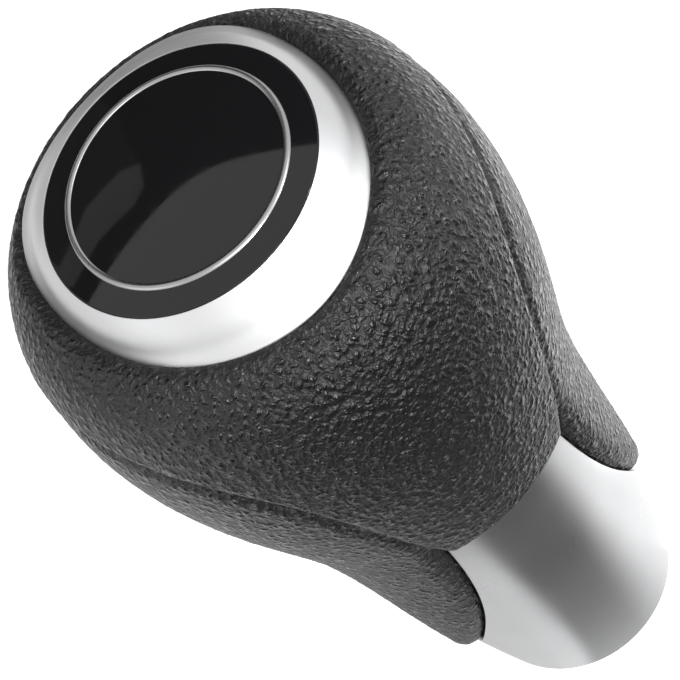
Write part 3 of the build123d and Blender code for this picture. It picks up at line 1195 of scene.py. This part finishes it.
@dataclass
class Studio:
    """Pale floor, cards that only reflections see, soft lamps, and the camera of the photograph.

    Outlines of the low cards are x and y, and those of the upright cards behind the knob are x and z.
    """

    camera: PhotoCamera = PhotoCamera()
    ambient: float = 0.42
    floor_half: float = 2500.0
    floor_finish: StageFinish = StageFinish("floor_pale", (0.86, 0.86, 0.86, 1), 0.55)
    card_finish: StageFinish = StageFinish("card_dark", (0.05, 0.05, 0.05, 1))
    grey_finish: StageFinish = StageFinish("card_grey", (0.06, 0.06, 0.06, 1))
    wall_finish: StageFinish = StageFinish("card_wall", (0.1, 0.1, 0.1, 1))
    window_finish: StageFinish = StageFinish("card_window", (0.55, 0.55, 0.55, 1))
    flank_finish: StageFinish = StageFinish("card_flank", (0.28, 0.28, 0.28, 1))
    pale_finish: StageFinish = StageFinish("card_pale", (0.75, 0.75, 0.75, 1), 0.15)
    front_finish: StageFinish = StageFinish("card_front", (0.09, 0.09, 0.092, 1))
    far_finish: StageFinish = StageFinish("card_far", (0.55, 0.55, 0.55, 1))
    glow_finish: StageFinish = StageFinish("card_glow", (0.86, 0.86, 0.86, 1), 1.6)
    fan_finish: FanFinish = FanFinish("card_fan")
    card_z: float = 0.15
    fan_z: float = 0.25
    fan_reach: Span = (11.3, 46.0)
    fan_turn: Span = (-48.0, 54.0)
    fan_points: int = 25
    front_card: Stations = ((91.0, -76.0), (300.0, -230.0))
    far_card: Stations = ((300.0, -230.0), (420.0, -320.0), (420.0, -900.0))
    rear_card: Stations = (
        (-40.0, 105.0), (60.0, 105.0), (95.0, 215.0), (220.0, 420.0), (260.0, 640.0), (-30.0, 640.0)
    )
    glow_card: Stations = (
        (27.0, -14.0), (62.0, -16.0), (170.0, -16.0), (190.0, 190.0),
        (110.0, 190.0), (75.0, 95.0), (27.0, 30.0),
    )
    side_card: Stations = ((-8.1, -7.9), (-14.0, 10.0), (-48.0, 25.5), (-46.0, -44.0))
    flank_card: Stations = ((48.0, -44.1), (91.0, -76.0), (320.0, -245.0), (320.0, -40.0), (62.0, -20.0))
    back_y: float = 900.0
    back_half: float = 700.0
    back_low: float = 150.0
    back_top: Stations = (
        (-700.0, 1190.0), (-212.0, 1205.0), (31.0, 1250.0), (266.0, 1455.0), (700.0, 1915.0)
    )
    back_points: int = 24
    window_top: Stations = (
        (-700, 1040), (-379, 1023), (-292, 1011), (-147, 1062), (-85, 1027), (-43, 904)
    )
    window_foot: Stations = ((-91, 846), (-213, 822), (-311, 866), (-700, 900))
    wall_edge: Stations = ((-29, 793), (2, 623), (0, 150))
    lamps: tuple[Lamp, ...] = (
        Lamp("front_softbox", (-0.1, -0.8, 0.75), 0.07, 0.75, 4.0),
        Lamp("left_softbox", (-0.85, -0.05, 0.45), 0.06, 0.6, 0.9),
        Lamp("right_softbox", (0.74, -0.48, 0.62), 0.06, 0.55, 1.9),
        Lamp("low_softbox", (0.12, -1.0, 0.32), 0.08, 0.22, 6.6),
        Lamp("glint_lamp", (0.65, -0.56, 0.33), 0.08, 0.08, 2.0),
    )

    def fan_arc(self, reach: float) -> list[Span]:
        """Arc of the fan card, from its left to its right edge, at a distance from the lever's axis."""
        turns = np.radians(np.linspace(*self.fan_turn, self.fan_points))
        return [(float(x), float(y)) for x, y in zip(reach * np.sin(turns), -reach * np.cos(turns))]

    def card(self, name: str, corners: list[Place], finish: StageFinish | FanFinish) -> None:
        """Card, square to the camera's heading, that shows in reflections only.

        Args:
            name: Name of the card.
            corners: Its corners in order, in millimetres.
            finish: Its finish.
        """
        turn = np.array(self.camera.heading())
        piece = MeshMaker.from_faces(name, np.array(corners) @ turn.T, [tuple(range(len(corners)))])
        dress(piece, finish.material())
        for seen in REFLECTED_ONLY:
            setattr(piece, seen, False)

    def low_cards(self) -> None:
        """Lays out the cards that lie just above the floor."""
        foot, front = (self.fan_arc(reach) for reach in self.fan_reach)
        self.card("fan_card", [(x, y, self.fan_z) for x, y in front + foot[::-1]], self.fan_finish)
        wedge = [(-x, y) for x, y in reversed(self.front_card)] + front + list(self.front_card)
        far = [(-x, y) for x, y in reversed(self.far_card)] + list(self.far_card)
        low = (
            ("front_card", wedge[::-1], self.front_finish),
            ("far_card", far[::-1], self.far_finish),
            ("rear_card", self.rear_card, self.grey_finish),
            ("glow_card", self.glow_card, self.glow_finish),
            ("side_card", self.side_card, self.pale_finish),
            ("right_flank_card", self.flank_card, self.flank_finish),
            ("left_flank_card", [(-x, y) for x, y in self.flank_card], self.flank_finish),
        )
        for name, outline, finish in low:
            self.card(name, [(x, y, self.card_z) for x, y in outline], finish)

    def back_cards(self) -> None:
        """Stands up the cards behind the knob, which show in the lens."""
        top = natural_spline(self.back_top, self.back_points)[::-1]
        back = [(self.back_half, self.back_low), *top, *self.window_top, *self.wall_edge]
        window = [*self.window_top, *self.window_foot]
        corner = (-self.back_half, self.back_low)
        wall = [*self.window_foot[::-1], self.window_top[-1], *self.wall_edge, corner]
        upright = (
            ("back_card", back, self.card_finish),
            ("window_card", window, self.window_finish),
            ("wall_card", wall, self.wall_finish),
        )
        for name, outline, finish in upright:
            self.card(name, [(float(x), self.back_y, float(z)) for x, z in outline], finish)

    def sky(self) -> None:
        """White world: full for the rays that see it, and a plain level for the light that it gives."""
        world = bpy.data.worlds.new("studio")
        world.use_nodes = True
        graph = Graph(world.node_tree)
        strength = graph.spread(seen_rays(graph), 0.0, 1.0, self.ambient, 1.0)
        light = graph.add("ShaderNodeBackground", {"Color": (1, 1, 1, 1), "Strength": strength})
        graph.add("ShaderNodeOutputWorld", {"Surface": light.outputs[0]})
        bpy.context.scene.world = world
        bpy.context.scene.view_settings.view_transform = "Standard"

    def build(self) -> None:
        """Sets the whole studio up."""
        half = self.floor_half
        corners = np.array([(-half, -half, 0), (half, -half, 0), (half, half, 0), (-half, half, 0)])
        floor = MeshMaker.from_faces("floor", corners, [(0, 1, 2, 3)])
        dress(floor, self.floor_finish.material())
        self.low_cards()
        self.back_cards()
        for lamp in self.lamps:
            lamp.build()
        self.sky()
        self.camera.build()


def place(piece: Piece, slot: str, node: str | None = None) -> None:
    """Makes a piece ride on the knob and reports it.

    Args:
        piece: The piece.
        slot: Name of its material slot, which is only reported.
        node: Node of model.glb that it stands for, if any.
    """
    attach(piece, BODY)
    if node:
        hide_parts(node)
    LOG.info("%s: %d faces, slot %s, for node %s", piece.name, len(piece.data.polygons), slot, node)


def main() -> None:
    """Builds the pieces in order, dresses the nodes that stay, and sets up the studio."""
    logging.basicConfig(level=logging.INFO, format="%(name)s: %(message)s")
    edge = LobeEdge()
    rim = EggRim()
    collar_satin = MetalFinish("collar_satin", (0.56, 0.563, 0.57, 1), rough=0.3)
    bezel_satin = MetalFinish("bezel_satin", (0.585, 0.587, 0.593, 1), rough=0.47)
    ring_silver = MetalFinish("ring_silver", (0.38, 0.38, 0.385, 1), rough=0.28)
    brass = MetalFinish("insert_brass", (0.72, 0.53, 0.25, 1), rough=0.3)
    lens_gloss = PlasticFinish(
        "lens_gloss", (0.0085, 0.0085, 0.0095, 1), rough=0.05, rough_spread=0.03,
        grains=Noise(700.0, 3.0), grain_depth=0.0000005, gloss=0.42,
    )
    core_plastic = PlasticFinish(
        "core_plastic", (0.022, 0.022, 0.023, 1), rough=0.55, rough_spread=0.15,
        grains=Noise(2400.0, 3.0), grain_depth=0.00002,
    )
    pad_rubber = PlasticFinish(
        "pad_rubber", (0.03, 0.03, 0.03, 1), rough=0.85, rough_spread=0.1,
        grains=Noise(3600.0, 3.0), grain_depth=0.00006,
    )
    place(Grip(LeatherFinish(), edge, rim).build(), "grip_leather", "grip_skin")
    place(Collar(collar_satin, edge).build(), "collar_satin", "collar_sleeve")
    place(Bezel(bezel_satin, rim).build(), "bezel_satin", "bezel_ring")
    disc, ring = Lens(lens_gloss, ring_silver).build()
    place(disc, "lens_gloss", "cap_lens")
    place(ring, "bezel_satin")
    place(ThreadedInsert(brass).build(), "insert_brass", "lever_insert")
    for node, finish in (("grip_core", core_plastic), ("lens_pad", pad_rubber)):
        dress(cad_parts[node], finish.material())
    Studio().build()


if __name__ == "__main__":
    main()
